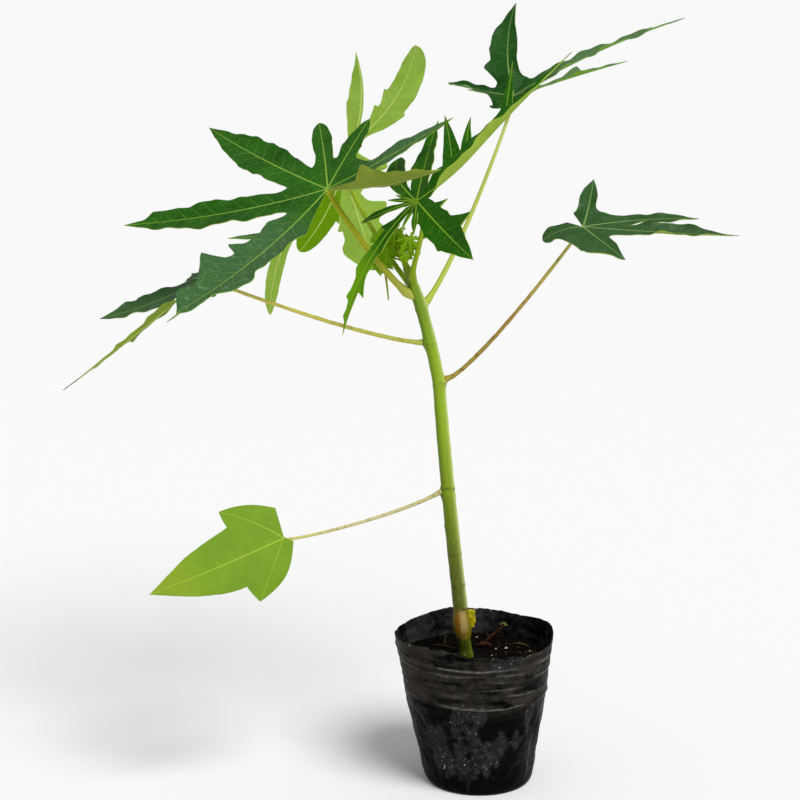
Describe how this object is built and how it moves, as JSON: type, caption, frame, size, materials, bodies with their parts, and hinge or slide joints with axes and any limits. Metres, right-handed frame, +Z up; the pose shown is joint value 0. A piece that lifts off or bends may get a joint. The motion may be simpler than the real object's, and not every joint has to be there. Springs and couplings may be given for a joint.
{
  "type": "potted papaya seedling",
  "caption": "Grafted papaya seedling with a leaning green stem, lobed leaves on long stalks and a young shoot tip, in a soft black nursery pot filled with soil.",
  "frame": {"origin": "middle of the pot's flat underside", "axes": "+Z up along the plant, -Y towards the side it is seen from in the picture, +X to the right in the picture"},
  "size_m": [0.3603, 0.2112, 0.4329],
  "materials": {
    "pot_film": "thin black plastic film, creased and half glossy",
    "soil": "moist dark potting soil",
    "stem_bark": "smooth green bark with leaf scars",
    "tape": "lime yellow grafting tape",
    "petiole_lower_left": "pale smooth leaf stalk",
    "leaf_lower_left": "even yellow-green leaf, satin",
    "petiole_right": "knobbly olive leaf stalk, reddish brown low down",
    "leaf_right": "grey-green leaf with a dull sheen",
    "petiole_upper_right": "pale yellow-green leaf stalk",
    "leaf_upper_right": "grey-green leaf with a dull sheen",
    "petiole_left_large": "yellow-olive leaf stalk",
    "leaf_left_large": "dark green leaf with pale veins",
    "petiole_back": "green leaf stalk",
    "leaf_back": "light yellow-green leaf underside with raised veins",
    "petiole_centre": "yellow-green leaf stalk",
    "leaf_centre": "vivid dark green leaf with yellow veins",
    "petiole_far_left": "pale leaf stalk with brown specks",
    "leaf_far_left": "grey-green leaf with a light underside",
    "young_leaf": "tender yellow-green young leaf"
  },
  "bodies": {
    "root": {"pot": "pot_film", "soil": "soil", "stem": "stem_bark", "graft_tape": "tape", "petiole_lower_left": "petiole_lower_left", "leaf_lower_left": "leaf_lower_left", "petiole_right": "petiole_right", "leaf_right": "leaf_right", "petiole_upper_right": "petiole_upper_right", "leaf_upper_right": "leaf_upper_right", "petiole_left_large": "petiole_left_large", "leaf_left_large": "leaf_left_large", "petiole_back": "petiole_back", "leaf_back": "leaf_back", "petiole_centre": "petiole_centre", "leaf_centre": "leaf_centre", "petiole_far_left": "petiole_far_left", "leaf_far_left": "leaf_far_left", "shoot_tip": "young_leaf"}
  },
  "joints": []
}
